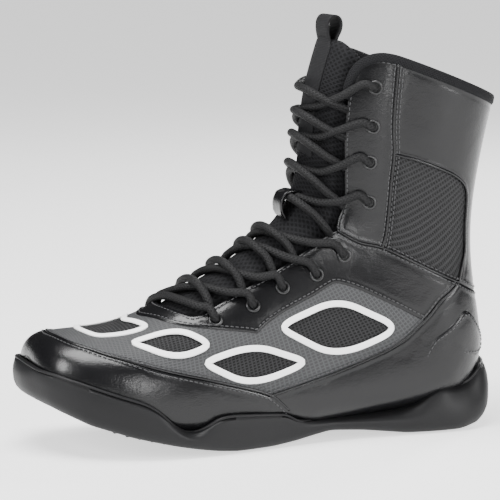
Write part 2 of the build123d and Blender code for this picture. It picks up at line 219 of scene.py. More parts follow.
def closed_sheet(batch, upper, lower, rows, columns, coords):
    """A closed solid between two grids of points that lie one over the other."""
    count = rows * columns
    faces = grid_faces(rows, columns)
    faces += [tuple(i + count for i in f[::-1]) for f in faces]
    rim = [r * columns for r in range(rows)] + [(rows - 1) * columns + c for c in range(1, columns)]
    rim += [r * columns + columns - 1 for r in range(rows - 2, -1, -1)] + list(range(columns - 2, 0, -1))
    faces += [(a, b, b + count, a + count) for a, b in zip(rim, rim[1:] + rim[:1])]
    batch.add(np.vstack([upper, lower]), faces, np.vstack([coords, coords]))


def sweep(batch, centres, sides, ups, profile, closed=False, ends=(1.0, 1.0)):
    """A profile of (side, up) points carried along a line. ends scales the profile at each end."""
    profile = np.asarray(profile, float)
    count, around = len(centres), len(profile)
    size = np.ones(count)
    if not closed:
        size[0], size[-1] = ends
    points = (centres[:, None] + sides[:, None] * (profile[None, :, :1] * size[:, None, None])
              + ups[:, None] * (profile[None, :, 1:] * size[:, None, None]))
    faces = grid_faces(count, around, wrap_rows=closed, wrap_columns=True)
    if not closed:
        faces += [list(range(around))[::-1], list(range((count - 1) * around, count * around))]
    run = np.concatenate([[0], np.cumsum(np.linalg.norm(np.diff(centres, axis=0), axis=1))])
    girth = np.concatenate([[0], np.cumsum(np.linalg.norm(np.diff(profile, axis=0), axis=1))])
    coords = np.stack(np.meshgrid(run, girth, indexing="ij"), 2).reshape(-1, 2)
    batch.add(points.reshape(-1, 3), faces, coords)


def frames(points, ups, closed=False):
    """Side and up directions square to a line, kept near the given ups."""
    if closed:
        t = np.roll(points, -1, 0) - np.roll(points, 1, 0)
    else:
        t = np.gradient(points, axis=0)
    t /= np.maximum(np.linalg.norm(t, axis=1), 1e-9)[:, None]
    side = np.cross(t, ups)
    side /= np.maximum(np.linalg.norm(side, axis=1), 1e-9)[:, None]
    return side, np.cross(side, t)


def oval(width, height, count=12, up=0.0):
    """A closed oval profile."""
    a = np.linspace(0, 2 * math.pi, count, endpoint=False)
    return np.column_stack([np.cos(a) * width / 2, np.sin(a) * height / 2 + up])


def bar(width, height, up=0.0, corner=0.35):
    """A flat closed profile with rounded long edges."""
    w, h = width / 2, height / 2
    half = [(w - corner, -h), (w, -h + corner), (w, h - corner), (w - corner, h)]
    middle = [(x, h) for x in np.linspace(w - corner, -w + corner, 7)[1:-1]]
    return np.array(half + middle + [(-x, -y) for x, y in half] + [(-x, -y) for x, y in middle]) + (0, up)


def surface_sweep(batch, line, profile, closed=False, pitch=1.6, lift=0.0, ends=(1.0, 1.0)):
    """A profile carried along a (u, v) line on the boot."""
    line = spaced(line, pitch, closed)
    ups = boot_normal(*line.T)
    points = boot(*line.T) + ups * lift
    sides, ups = frames(points, ups, closed)
    sweep(batch, points, sides, ups, profile, closed, ends)


STITCH_FACES = grid_faces(4, 6, wrap_columns=True) + [list(range(6))[::-1], list(range(18, 24))]


def stitches(batch, line, pitch=3.0, length=2.1, radius=0.32, lift=0.1, closed=False):
    """A row of thread stitches along a (u, v) line."""
    line = spaced(line, pitch, closed)
    ups = boot_normal(*line.T)
    points = boot(*line.T) + ups * lift
    along = np.gradient(points, axis=0)
    along /= np.linalg.norm(along, axis=1)[:, None]
    side = np.cross(along, ups)
    place = np.array([-0.5, -0.36, 0.36, 0.5]) * length
    size = np.array([0.35, 1.0, 1.0, 0.35]) * radius
    turn = np.arange(6) * math.pi / 3
    for p, t, s, n in zip(points, along, side, ups):
        ring = [p + t * x + (s * math.cos(a) + n * math.sin(a)) * r
                for x, r in zip(place, size) for a in turn]
        batch.add(ring, STITCH_FACES)


def inside(points, starts, ends):
    """Which 2-D points lie inside the loops' edges, by the even-odd rule."""
    x, y = points[:, 0, None], points[:, 1, None]
    crosses = (starts[None, :, 1] > y) != (ends[None, :, 1] > y)
    rise = np.where(ends[:, 1] == starts[:, 1], 1e-9, ends[:, 1] - starts[:, 1])
    where = starts[None, :, 0] + (y - starts[None, :, 1]) / rise[None] * (ends - starts)[None, :, 0]
    return ((crosses & (x < where)).sum(1) % 2) == 1


def edge_distance(points, starts, ends):
    """Distance of 2-D points from the nearest edge."""
    best = np.full(len(points), 1e9)
    for first in range(0, len(points), 800):
        p = points[first:first + 800, None]
        d = (ends - starts)[None]
        t = np.clip(((p - starts) * d).sum(2) / np.maximum((d ** 2).sum(2), 1e-9), 0, 1)
        best[first:first + 800] = np.linalg.norm(p - starts - d * t[..., None], axis=2).min(1)
    return best


def panel(batch, loops, lift=0.0, thick=1.2, spacing=2.2, rise=None, groove=2.3, depth=0.22):
    """A sheet on the boot, bounded by closed (u, v) loops, holes among them, as a closed solid.

    Its edge is rounded over, and a stitching groove runs round it. rise(points, distance)
    adds height.
    """
    starts, ends = [], []
    for loop in loops:
        p = resample(np.asarray(loop, float) * SCALE, 1.25)
        starts.append(p)
        ends.append(np.roll(p, -1, 0))
    tangents = [b - a for a, b in zip(starts, ends)]
    starts, ends, tangents = np.vstack(starts), np.vstack(ends), np.vstack(tangents)
    normals = np.column_stack([-tangents[:, 1], tangents[:, 0]])
    normals /= np.maximum(np.linalg.norm(normals, axis=1), 1e-9)[:, None]
    points = [starts]
    for distance in (0.35, 0.9, 1.7, 2.4, 3.2):
        for sign in (-1, 1):
            ring = (starts + ends) / 2 + normals * distance * sign
            ring = ring[edge_distance(ring, starts, ends) > 0.9 * distance]
            points.append(ring[inside(ring, starts, ends)])
    low, high = starts.min(0), starts.max(0)
    xs, ys = np.arange(low[0], high[0], spacing), np.arange(low[1], high[1], spacing * 0.87)
    grid = np.array([(x + (j % 2) * spacing / 2, y) for j, y in enumerate(ys) for x in xs])
    grid = grid[inside(grid, starts, ends)]
    grid = grid[edge_distance(grid, starts, ends) > 3.2 + 0.5 * spacing]
    points = np.vstack(points + [grid])
    joined, first = [], 0
    for loop in loops:
        count = len(resample(np.asarray(loop, float) * SCALE, 1.25))
        joined += [(first + i, first + (i + 1) % count) for i in range(count)]
        first += count
    found = delaunay_2d_cdt([Vector(p) for p in points], joined, [], 0, 1e-4)
    flat = np.array([tuple(v) for v in found[0]])
    triangles = np.array([tuple(t) for t in found[2]])
    middle = flat[triangles].mean(1)
    triangles = triangles[inside(middle, starts, ends)]
    a, b, c = flat[triangles[:, 0]], flat[triangles[:, 1]], flat[triangles[:, 2]]
    area = (b - a)[:, 0] * (c - a)[:, 1] - (b - a)[:, 1] * (c - a)[:, 0]
    triangles[area < 0] = triangles[area < 0][:, ::-1]
    distance = edge_distance(flat, starts, ends)
    height = lift - 0.55 * np.clip(1 - distance / 0.9, 0, 1) ** 2
    height -= depth * np.exp(-((distance - groove) / 0.45) ** 2)
    if rise is not None:
        height = height + rise(flat / SCALE, distance)
    u, v = (flat / SCALE).T
    u = np.clip(u, 0.06, LAST)
    top = on_boot(u, v, height)
    low_side = on_boot(u, v, lift - thick)
    count = len(flat)
    faces = [tuple(t) for t in triangles] + [tuple(t[::-1] + count) for t in triangles]
    edges = {}
    for t in triangles:
        for i, j in ((0, 1), (1, 2), (2, 0)):
            edges[(t[i], t[j])] = edges.get((t[i], t[j]), 0) + 1
    faces += [(j, i, i + count, j + count) for i, j in edges if (j, i) not in edges]
    batch.add(np.vstack([top, low_side]), faces, np.vstack([flat, flat]))


def resample(loop, step):
    """A closed 2-D loop with evenly spaced points."""
    ring = np.vstack([loop, loop[:1]])
    run = np.concatenate([[0], np.cumsum(np.linalg.norm(np.diff(ring, axis=0), axis=1))])
    at = np.linspace(0, run[-1], max(8, int(run[-1] / step)), endpoint=False)
    return np.column_stack([np.interp(at, run, ring[:, 0]), np.interp(at, run, ring[:, 1])])


def tube(batch, points, radius, closed=False, flat=1.0, count=10):
    """A round tube along points; a closed ring, or with rounded ends."""
    ups = np.tile((0.0, 0.0, 1.0), (len(points), 1))
    sides, ups = frames(points, ups, closed)
    sweep(batch, points, sides, ups, oval(2 * radius, 2 * radius * flat, count), closed, (0.4, 0.4))


# ------------------------------------------------------------------ finishes
def material(name, colour, roughness, pattern=None, pitch=1.0, sharp=1.0, dark=0.3, bump=0.0, turn=0.0,
             grain=0.0, grain_size=1.0, wrinkle=0.0, coat=0.0, sheen=0.0, metal=0.0, shine=0.5):
    """A procedural finish. pattern is "threads" for lines both ways, or "ribs" for lines one way.

    pitch is in millimetres of surface, and bump, grain and wrinkle are relief depths in millimetres.
    """
    made = bpy.data.materials.new(name)
    made.use_nodes = True
    nodes, links = made.node_tree.nodes, made.node_tree.links
    shader = nodes["Principled BSDF"]
    shader.inputs["Base Color"].default_value = (*colour, 1)
    shader.inputs["Roughness"].default_value = roughness
    shader.inputs["Metallic"].default_value = metal
    shader.inputs["Specular IOR Level"].default_value = shine
    shader.inputs["Coat Weight"].default_value = coat
    shader.inputs["Coat Roughness"].default_value = 0.25
    shader.inputs["Sheen Weight"].default_value = sheen

    def node(kind, operation=None, *values):
        n = nodes.new(kind)
        if operation:
            n.operation = operation
        for i, value in enumerate(values):
            if isinstance(value, bpy.types.NodeSocket):
                links.new(value, n.inputs[i])
            else:
                n.inputs[i].default_value = value
        return n

    height = None
    if pattern:
        place = node("ShaderNodeUVMap").outputs[0]
        place = node("ShaderNodeVectorRotate", None, place, (0, 0, 0), (0, 0, 1), turn).outputs[0]
        split = node("ShaderNodeSeparateXYZ", None, place)
        waves = []
        for axis in range(2 if pattern == "threads" else 1):
            x = node("ShaderNodeMath", "MULTIPLY", split.outputs[axis], 2 * math.pi / pitch).outputs[0]
            x = node("ShaderNodeMath", "SINE", x).outputs[0]
            x = node("ShaderNodeMath", "MULTIPLY_ADD", x, 0.5, 0.5).outputs[0]
            waves.append(node("ShaderNodeMath", "POWER", x, sharp).outputs[0])
        height = waves[0]
        if pattern == "threads":
            height = node("ShaderNodeMath", "MAXIMUM", waves[0], waves[1]).outputs[0]
        shade = node("ShaderNodeMath", "MULTIPLY_ADD", height, 1 - dark, dark).outputs[0]
        tint = nodes.new("ShaderNodeVectorMath")
        tint.operation = "SCALE"
        tint.inputs[0].default_value = colour
        links.new(shade, tint.inputs["Scale"])
        links.new(tint.outputs[0], shader.inputs["Base Color"])
    normal = None
    place = node("ShaderNodeTexCoord").outputs["Object"]
    for depth, size in ((bump, None), (grain, grain_size), (wrinkle, 18.0)):
        if not depth:
            continue
        relief = height
        if size:
            noise = nodes.new("ShaderNodeTexNoise")
            noise.inputs["Scale"].default_value = 1000 / size
            noise.inputs["Detail"].default_value = 3.0
            links.new(place, noise.inputs["Vector"])
            relief = noise.outputs["Fac"]
        relief_node = nodes.new("ShaderNodeBump")
        relief_node.inputs["Strength"].default_value = 1.0
        relief_node.inputs["Distance"].default_value = depth * MM
        links.new(relief, relief_node.inputs["Height"])
        if normal:
            links.new(normal, relief_node.inputs["Normal"])
        normal = relief_node.outputs[0]
    if normal:
        links.new(normal, shader.inputs["Normal"])
    return made


FINISH = {
    "leather_smooth": material("leather_smooth", (0.004, 0.004, 0.0045), 0.26, grain=0.1,
                               grain_size=1.0, wrinkle=0.5, shine=0.32),
    "vamp_textile": material("vamp_textile", (0.045, 0.046, 0.048), 0.6, "threads", 1.5, 3.0, 0.5, 0.12,
                             grain=0.05, grain_size=0.8, shine=0.3),
    "vent_mesh": material("vent_mesh", (0.022, 0.022, 0.023), 0.7, "threads", 1.35, 1.6, 0.08, 0.3,
                          shine=0.15),
    "air_mesh": material("air_mesh", (0.02, 0.02, 0.021), 0.65, "threads", 1.9, 1.4, 0.08, 0.35,
                         math.pi / 4, grain=0.05, shine=0.2),
    "white_film": material("white_film", (0.9, 0.9, 0.9), 0.45, grain=0.02),
    "sole_rubber": material("sole_rubber", (0.006, 0.006, 0.0065), 0.5, grain=0.08, grain_size=1.2,
                            shine=0.2),
    "midsole_foam": material("midsole_foam", (0.05, 0.05, 0.05), 0.8, grain=0.1),
    "shank_steel": material("shank_steel", (0.45, 0.46, 0.48), 0.35, metal=1.0, grain=0.02),
    "board_fibre": material("board_fibre", (0.3, 0.22, 0.14), 0.85, grain=0.1),
    "sockliner_textile": material("sockliner_textile", (0.015, 0.015, 0.016), 0.85, "threads", 1.0, 1.2,
                                  0.5, 0.1, shine=0.1),
    "lining_textile": material("lining_textile", (0.008, 0.008, 0.009), 0.85, "threads", 1.6, 1.2, 0.35,
                               0.2, math.pi / 4, shine=0.1),
    "knit": material("knit", (0.009, 0.009, 0.01), 0.8, "threads", 1.3, 0.8, 0.35, 0.25, math.pi / 4,
                     shine=0.12),
    "tongue_textile": material("tongue_textile", (0.009, 0.009, 0.01), 0.8, "threads", 2.2, 1.2, 0.25,
                               0.3, math.pi / 4, shine=0.12),
    "webbing": material("webbing", (0.014, 0.014, 0.015), 0.75, "ribs", 0.9, 1.0, 0.55, 0.12,
                        shine=0.12),
    "lace_braid": material("lace_braid", (0.007, 0.007, 0.0075), 0.65, "threads", 1.5, 0.8, 0.3, 0.3,
                           math.pi / 4, shine=0.2),
    "eyelet_lacquer": material("eyelet_lacquer", (0.006, 0.006, 0.0065), 0.28, grain=0.01),
}
THREAD = material("thread", (0.03, 0.03, 0.032), 0.5, grain=0.03)


def piece(batch, name, body, slot, stands_for=(), finish=None):
    """Turns a batch into a finished piece on its CAD body."""
    obj = batch.build(name)
    obj.data.materials.append(finish or FINISH[slot])
    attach(obj, body)
    if stands_for:
        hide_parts(*stands_for)
    return obj


def both(name):
    return [f"{name}_lateral", f"{name}_medial"]


# ------------------------------------------------------------------ seams, as (u, v) on the lateral side
FOXING_TOP = [(7.68, -.71), (7.54, -.66), (7.38, -.62), (7.02, -.57), (6.20, -.48), (5.29, -.40),
              (4.67, -.35), (3.98, -.30), (3.26, -.20), (2.95, 0)]
EYESTAY_LOW = [(10.69, -.59), (10.36, -.50), (9.90, -.40), (9.54, -.345), (9.34, -.335), (8.85, -.34),
               (8.04, -.345), (7.61, -.36), (7.40, -.375), (7.25, -.36), (6.40, -.28), (5.91, -.22),
               (5.58, -.14), (5.32, 0)]
HEEL_TOP = [(7.38, -.62), (8.53, -.63), (9.44, -.62), (10.0, -.61), (10.65, -.60), (11.47, -.63),
            (12.39, -.735)]
BACK_SEAM = [(12.39, -.735), (12.62, -.86), (12.8, -1)]
ANKLE_SEAM = [(10.48, -.215), (10.80, -.29), (11.31, -.37), (11.70, -.48), (12.15, -.64),
              (12.39, -.735)]
SHAFT_SEAM = [(11.31, -.37), (12.09, -.385), (13.20, -.41), (14.28, -.42), (15.10, -.40), (16.02, -.38),
              (16.85, -.36)]
WINDOW_EDGE = [(14.32, -.42), (14.55, -.52), (14.71, -.63), (14.78, -.71), (14.71, -.78), (14.45, -.81),
               (13.85, -.815), (13.30, -.81), (12.75, -.765), (12.39, -.735)]
THROAT_FOOT = [(10.48, -.215), (10.13, -.20), (9.31, -.19), (8.23, -.19), (7.38, -.19), (6.75, -.20),
               (6.27, -.205), (6.05, -.16), (5.88, -.09), (5.80, 0)]
THROAT_SHAFT = [(10.48, -.215), (10.82, -.20), (11.67, -.205), (13.11, -.21), (14.22, -.21),
                (15.2, -.205), (15.95, -.20), (16.35, -.21), (16.64, -.24), (16.85, -.29),
                (16.93, -.36)]
HEEL_PATCH = [(11.83, -.75), (11.95, -.84), (11.80, -.91), (11.50, -.90), (10.98, -.79), (10.39, -.735),
              (10.20, -.70), (10.35, -.675), (10.85, -.67)]
VENTS = {
    "front": [(4.62, -.222), (5.78, -.205), (6.58, -.362), (5.62, -.378)],
    "middle": [(5.98, -.392), (7.28, -.394), (8.42, -.568), (7.05, -.568)],
    "rear": [(7.70, -.370), (9.35, -.376), (10.28, -.572), (8.74, -.588)],
}
TOE_VENT = [(3.85, 0), (3.93, -.09), (4.15, -.16), (4.55, -.175), (5.16, -.175), (5.34, -.15),
            (5.22, -.07)]

# Lace runs as (u, v) of the eyelet they come out of, then two points on the way.
EYELETS = [(6.63, .26), (7.48, .27), (8.26, .26), (9.15, .28), (10.1, .28), (12.3, .31), (13.6, .32),
           (14.75, .32), (16.0, .30)]
LOWER_RUNS = [(6.10, 5.93), (6.60, 6.10), (7.28, 6.90), (8.26, 7.70), (8.82, 8.35), (10.45, 9.85),
              (11.75, 11.15), (13.20, 12.70), (14.45, 13.85)]
UPPER_RUNS = [(6.50, 6.60), (7.20, 7.38), (8.00, 8.20), (8.60, 8.85), (10.0, 10.2), (11.7, 11.40),
              (13.1, 12.80), (14.1, 13.85), (15.1, 14.85)]


def across(points):
    """A lateral line that ends on the front middle, carried on over to the medial side."""
    return np.array(list(points) + [(u, -v) for u, v in points[-2::-1]])


def round_back(points):
    """A lateral line that ends on the back middle, carried on round to the medial side."""
    return np.array(list(points) + [(u, -2 - v) for u, v in points[-2::-1]])


def turned(line):
    """How a closed loop runs: 1 if its left side is its inside."""
    x, y = np.asarray(line).T
    return 1 if (x * np.roll(y, -1) - np.roll(x, -1) * y).sum() > 0 else -1


def rounded(corners, radius=10.0):
    """A closed loop with straight sides and rounded corners; the radius is in millimetres."""
    ring, loop = np.array(corners) * SCALE, []
    for before, corner, after in zip(np.roll(ring, 1, 0), ring, np.roll(ring, -1, 0)):
        enter, leave = before - corner, after - corner
        enter = corner + enter * min(radius / np.linalg.norm(enter), 0.45)
        leave = corner + leave * min(radius / np.linalg.norm(leave), 0.45)
        for t in np.linspace(0, 1, 9):
            loop.append((1 - t) ** 2 * enter + 2 * t * (1 - t) * corner + t ** 2 * leave)
    return resample(np.array(loop), 1.2) / SCALE


def grow(loop, distance):
    """A closed loop made larger, or smaller, by a distance in millimetres."""
    ring = np.vstack([loop[-3:], loop, loop[:3]])
    return shift(ring, -turned(loop) * distance)[3:-3]


# ------------------------------------------------------------------ the upper
foxing_line = smooth_line(across(FOXING_TOP))
eyestay_line = smooth_line(across(EYESTAY_LOW))
heel_line = smooth_line(HEEL_TOP)
back_line = smooth_line(round_back(BACK_SEAM))
ankle_line = smooth_line(ANKLE_SEAM)
shaft_line = smooth_line(SHAFT_SEAM)
window_line = smooth_line(WINDOW_EDGE)
throat_line = smooth_line(across(THROAT_FOOT))
shaft_throat = smooth_line(THROAT_SHAFT)

rims = {"toe": smooth_line(across(TOE_VENT + [(5.12, 0)])[:-1], closed=True)}
for vent, loop in VENTS.items():
    rims[f"{vent}_lateral"] = rounded(loop)
    rims[f"{vent}_medial"] = rounded(mirror(loop))

batch = Batch()
low_edge = smooth_line([(7.68, .71), (7.0, .82), (5.0, .87), (3.0, .90), (1.4, .84), (.85, .5), (.8, 0),
                        (.85, -.5), (1.4, -.84), (3.0, -.90), (5.0, -.87), (7.0, -.82), (7.68, -.71)])
panel(batch, [np.vstack([foxing_line, low_edge[1:-1]])], 0.0, SKIN)
piece(batch, "toe_foxing", "boot", "leather_smooth", ["toe_foxing"])

batch = Batch()
heel_under = smooth_line([(10.9, -.62), (10.0, -.64), (8.5, -.66), (7.5, -.66)])
front_edge = shift(foxing_line, 2.5)[8:-8]
rear_edge = shift(eyestay_line, -2.8)
outline = np.vstack([front_edge, mirror(heel_under[::-1]), rear_edge[::-1], heel_under])
panel(batch, [outline] + [grow(loop, -RIM + 0.6) for loop in rims.values()], -0.6, 1.0, groove=0, depth=0)
piece(batch, "vamp", "boot", "vamp_textile", ["vamp"])

for name, loop in rims.items():
    batch = Batch()
    surface_sweep(batch, grow(loop, -RIM / 2), bar(RIM, 1.3, -0.25, 0.4), closed=True, pitch=1.2)
    piece(batch, f"vent_rim_{name}", "boot", "white_film", [f"vent_rim_{name}"])
    batch = Batch()
    panel(batch, [grow(loop, -RIM / 2)], -1.1, 0.7, groove=0, depth=0)
    piece(batch, f"vent_mesh_{name}", "boot", "vent_mesh", [f"vent_mesh_{name}"])

batch = Batch()
quarter_end = [p for p in heel_line if p[0] > EYESTAY_LOW[0][0] + 0.05]
side_edge = np.vstack([quarter_end, ankle_line[::-1][1:]])
outline = np.vstack([eyestay_line, mirror(side_edge), throat_line[::-1][1:-1], side_edge[::-1]])
panel(batch, [outline], 0.0, SKIN)
piece(batch, "quarter", "boot", "leather_smooth", both("quarter"))

batch = Batch()
heel_front = np.vstack([heel_line[:-1], back_line, (heel_line * (1, -1) + (0, -2))[::-1][1:]])
under = np.array([(7.2, -1.25), (7.2, -1.1), (7.2, -1.0), (7.2, -.9), (7.2, -.75)])


def waist_rise(points, distance):
    """Fills out the heel panel down to the sole at the waist."""
    q = np.abs(points[:, 1] + 1)
    along = np.clip((points[:, 0] - 7.6) / 0.5, 0, 1) * np.clip((11.3 - points[:, 0]) / 0.8, 0, 1)
    return 3.4 * np.clip((0.35 - q) / 0.14, 0, 1) * np.clip((q - 0.05) / 0.1, 0, 1) * along


panel(batch, [np.vstack([heel_front, under])], 0.0, SKIN, rise=waist_rise)
piece(batch, "heel_panel", "boot", "leather_smooth", both("heel_panel"))

for side, sign in (("lateral", 1), ("medial", -1)):
    flip = (1, sign)
    batch = Batch()
    panel(batch, [smooth_line(HEEL_PATCH, closed=True) * flip], 0.7, 1.0)
    piece(batch, f"heel_patch_{side}", "boot", "leather_smooth", [f"heel_patch_{side}"])
    batch = Batch()
    low = np.array([p for p in ankle_line if p[1] > -.365])
    panel(batch, [np.vstack([low[1:], shaft_line, shaft_throat[::-1]]) * flip], 0.0, SKIN)
    piece(batch, f"shaft_eyestay_{side}", "boot", "leather_smooth", [f"shaft_eyestay_{side}"])
    batch = Batch()
    high = np.array([p for p in shaft_line if p[0] < 14.32])
    rest = np.array([p for p in ankle_line if p[1] < -.372])
    ring = np.vstack([high, window_line, rest[::-1]])
    panel(batch, [grow(ring, 1.5) * flip], -0.9, 0.8, groove=0, depth=0)
    piece(batch, f"shaft_mesh_{side}", "boot", "air_mesh", [f"shaft_mesh_{side}"])

batch = Batch()
high = np.array([p for p in shaft_line if p[0] > 14.32])
side_edge = np.vstack([high[::-1], window_line[1:]])
top_edge = [(16.93, v) for v in np.linspace(-1.62, -.38, 60)]
outline = np.vstack([side_edge, back_line[1:-1], (side_edge * (1, -1) + (0, -2))[::-1], top_edge])
panel(batch, [outline], 0.0, SKIN)
piece(batch, "shaft_panel", "boot", "leather_smooth", both("shaft_panel"))

# Thread, and the dark piping that follows the main seams.
thread, piping = Batch(), Batch()
for distance in (1.4, 2.9):
    stitches(thread, shift(foxing_line, -distance), lift=-0.45)
surface_sweep(piping, shift(foxing_line, -0.6), oval(1.5, 1.3, 8), lift=-0.2)
stitches(thread, shift(foxing_line, 2.0))
stitches(thread, shift(eyestay_line, -2.3))
stitches(thread, shift(throat_line, 2.3))
for sign in (1, -1):
    flip = (1, sign)
    stitches(thread, shift(heel_line, 2.0) * flip)
    stitches(thread, shift(ankle_line, 1.8) * flip)
    stitches(thread, shift(ankle_line, -1.8) * flip)
    for distance in (1.6, 3.4):
        stitches(thread, shift(shaft_line, -distance) * flip)
    stitches(thread, shift(shaft_line, 1.8) * flip)
    surface_sweep(piping, shaft_line * flip, oval(1.7, 1.5, 8), lift=0.1)
    surface_sweep(piping, window_line * flip, oval(1.6, 1.5, 8), lift=0.1)
    surface_sweep(piping, ankle_line * flip, oval(1.4, 1.3, 8), lift=0.0)
    surface_sweep(piping, heel_line * flip, oval(1.4, 1.3, 8), lift=0.0)
    stitches(thread, shift(shaft_throat, -2.2) * flip)
    stitches(thread, grow(smooth_line(HEEL_PATCH, closed=True), -2.0) * flip, lift=0.8, closed=True)
stitches(thread, shift(back_line, -2.0))
stitches(thread, shift(back_line, 2.0))
piece(thread, "stitching", "boot", "leather_smooth", finish=THREAD)
piece(piping, "piping", "boot", "leather_smooth")

# ------------------------------------------------------------------ collar, lining and tongue
batch = Batch()
corner = [(15.2, -.20), (15.7, -.198), (16.15, -.205), (16.5, -.225), (16.78, -.265), (16.93, -.32),
          (16.97, -.42)]
collar_line = smooth_line(round_back(corner + [(16.97, -.7), (16.97, -1)]))
outside_half = [(-2.6, -1.0), (-2.6, 0.2), (-1.6, 0.75), (1.5, 0.85), (2.9, 0.3), (3.6, -0.9),
                (3.7, -2.4)]
inside_half = [(3.3, -3.9), (2.2, -4.9), (0.5, -5.3), (-1.6, -5.2), (-2.6, -4.4)]
surface_sweep(batch, collar_line, outside_half + inside_half, pitch=1.5, ends=(0.5, 0.5))
piece(batch, "collar_binding", "boot", "knit", ["collar_binding"])

batch = Batch()
rows, columns = 90, 120
us = np.linspace(1.15, 16.9, rows)
gap = 0.205 * np.clip((us - 5.8) / 0.5, 0, 1) ** 0.7
gap += 0.15 * np.clip((us - 16.3) / 0.6, 0, 1) ** 2
around = gap[:, None] + np.linspace(0, 1, columns)[None] * (2 - 2 * gap[:, None])
grid_u, grid_v = np.repeat(us, columns), around.ravel()
outer = on_boot(grid_u, grid_v, LINING_LIFT)
inner = on_boot(grid_u, grid_v, LINING_LIFT - LINING)
closed_sheet(batch, outer, inner, rows, columns, np.column_stack([grid_u, grid_v]) * SCALE)
inner_layers = ["lining", "backing", "shaft_foam", "toe_puff", "heel_counter"]
piece(batch, "lining", "boot", "lining_textile", inner_layers)

batch = Batch()
rows, columns = 110, 61
s = np.linspace(0, 1, rows)[:, None]
side = np.linspace(-1, 1, columns)[None]
grid_v = side * (0.28 + 0.12 * s)
top_u = 16.97 - 8 * np.maximum(np.abs(grid_v) - 0.09, 0) ** 1.5
grid_u = 5.3 + (np.maximum(top_u, 15.2) - 5.3) * s
width = np.abs(grid_v)
blend = np.clip((width - 0.145) / 0.06, 0, 1)
blend = blend * blend * (3 - 2 * blend)
outer = -1.1 * (1 - blend) - 5.0 * blend
outer = outer - 2.2 * np.clip((6.3 - grid_u) / 0.7, 0, 1) ** 2 - 1.4 * np.clip((6.6 - grid_u) / 0.9, 0, 1)
inner = np.full_like(outer, TONGUE_BACK)
edge = np.minimum(np.minimum(s * 190, (1 - s) * 190), (1 - np.abs(side)) * 45) + 0 * outer
round_over = np.sqrt(1 - (1 - np.clip(edge / TONGUE_EDGE, 0.02, 1)) ** 2)
middle = (outer + inner) / 2
outer = middle + (outer - middle) * round_over
inner = middle + (inner - middle) * round_over
grid_u, grid_v = grid_u.ravel(), grid_v.ravel()
upper, lower = [on_boot(grid_u, grid_v, lift.ravel()) for lift in (outer, inner)]
closed_sheet(batch, upper, lower, rows, columns, np.column_stack([grid_u, grid_v]) * SCALE)
piece(batch, "tongue", "tongue", "tongue_textile", ["tongue", "tongue_face"])

batch = Batch()
strap = [(12.2, -.07), (12.2, .07), (16.7, .078), (16.93, .06), (16.97, 0), (16.93, -.06), (16.7, -.078)]
panel(batch, [strap], -0.1, 1.2, groove=1.6, depth=0.15)
piece(batch, "tongue_webbing", "tongue", "webbing", ["tongue_webbing"])

batch = Batch()
path = smooth_line([(9.3, -.02, -1.0), (9.4, -.02, 3.0), (9.6, -.02, 6.2), (9.85, -.02, 7.4),
                    (10.1, -.02, 6.4), (10.3, -.02, 3.0), (10.4, -.02, -1.0)])
points, ups = on_boot(*path.T), boot_normal(path[:, 0], path[:, 1])
sides, ups = frames(points, np.tile((0.0, 1.0, 0.0), (len(points), 1)))
sweep(batch, points, ups, sides, bar(14.0, 1.3))
piece(batch, "lace_keeper", "tongue", "leather_smooth", ["lace_keeper"])

batch = Batch()
path = smooth_line([(46.0, 229.2), (44.6, 235), (44.2, 239), (44.7, 242.6), (46.6, 245), (49.4, 245.4),
                    (51.9, 243.9), (52.9, 240.6), (52.2, 236.6), (50.4, 233), (48.8, 229.0)], step=6)
points = np.column_stack([path[:, 0], np.zeros(len(path)), path[:, 1]])
sides, ups = frames(points, np.tile((0.0, 1.0, 0.0), (len(points), 1)))
sweep(batch, points, ups, sides, bar(19.0, 1.2))
piece(batch, "pull_loop", "pull_loop", "webbing", ["pull_loop"])

# ------------------------------------------------------------------ eyelets and lace
for side, sign in (("lateral", -1), ("medial", 1)):
    batch = Batch()
    for u, v in EYELETS:
        n = Vector(boot_normal(u, sign * v)[0])
        centre = Vector(boot(u, sign * v)[0]) + n * 0.25
        x = n.orthogonal().normalized()
        y = n.cross(x)
        ring = np.array([tuple(centre + (x * math.cos(a) + y * math.sin(a)) * EYELET_RADIUS)
                         for a in np.linspace(0, 2 * math.pi, 28)[:-1]])
        sides, ups = frames(ring, np.tile(tuple(n), (len(ring), 1)), closed=True)
        sweep(batch, ring, sides, ups, oval(1.7, 1.5, 10), closed=True)
    piece(batch, f"eyelets_{side}", "boot", "eyelet_lacquer", [f"eyelets_{side}"])

batch = Batch()
for number, (u, v) in enumerate(EYELETS):
    for sign, (first, last), upper in ((-1, LOWER_RUNS[number], False), (1, UPPER_RUNS[number], True)):
        top = 5.6 if upper else 1.6
        near = [(u, sign * v, -3.0), (u - 0.02, sign * (v - 0.012), 1.6),
                (u - 0.08, sign * (v - 0.05), 2.9)]
        if upper:
            way = [(0.45 * u + 0.55 * first, .15, 2.7), (first, .06, 3.2),
                   (0.5 * (first + last), -.07, top), (last, -.135, 3.4), (last, -.18, 0.9),
                   (last - 0.02, -.215, -2.6), (last - 0.03, -.25, -3.2)]
        else:
            way = [(0.45 * u + 0.55 * first, -.175, 2.7), (first, -.085, top), (last, .06, top),
                   (last - 0.05, .135, 1.7), (last - 0.08, .18, -0.4), (last - 0.1, .215, -2.8),
                   (last - 0.1, .25, -3.2)]
        path = smooth_line(near + way)
        points = on_boot(*path.T)
        tube(batch, points, LACE_RADIUS, flat=0.94, count=14)
piece(batch, "lace", "boot", "lace_braid", ["lace"])

